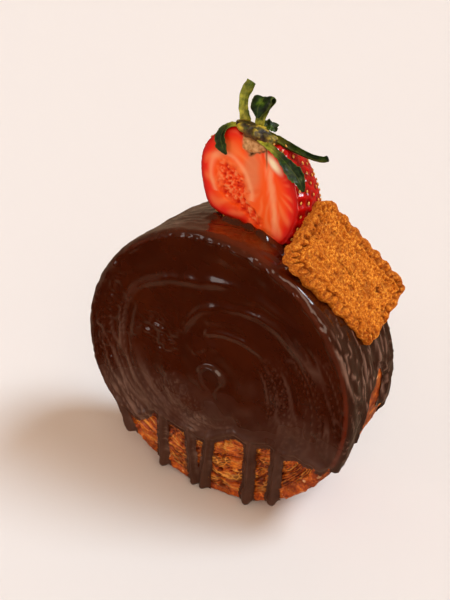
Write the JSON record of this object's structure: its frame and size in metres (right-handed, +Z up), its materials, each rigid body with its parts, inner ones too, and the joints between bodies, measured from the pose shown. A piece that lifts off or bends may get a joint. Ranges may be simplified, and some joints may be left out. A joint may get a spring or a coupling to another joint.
{
  "type": "round croissant roll",
  "caption": "Coiled croissant disc standing on its rim, with a dripping chocolate glaze, half a strawberry with its leaves and a caramelised biscuit on top.",
  "frame": {"origin": "centre of the small flat on the rim that the roll stands on", "axes": "+Z up; the roll's axis runs along Y and its front face looks to -Y; the biscuit is on the +X side"},
  "size_m": [0.1257, 0.0488, 0.1678],
  "materials": {
    "pastry": "satin",
    "glaze": "gloss",
    "strawberry": "gloss",
    "calyx": "matte",
    "leaf": "satin",
    "biscuit": "matte"
  },
  "bodies": {
    "root": {"croissant_roll": "pastry", "chocolate_glaze": "glaze", "caramelised_biscuit": "biscuit", "strawberry_half": "strawberry", "strawberry_calyx": "calyx", "sepal_upright_left": "leaf", "sepal_upright_right": "leaf", "sepal_back": "leaf", "sepal_side_right": "leaf", "sepal_front_right": "leaf", "sepal_left": "leaf"}
  },
  "joints": []
}
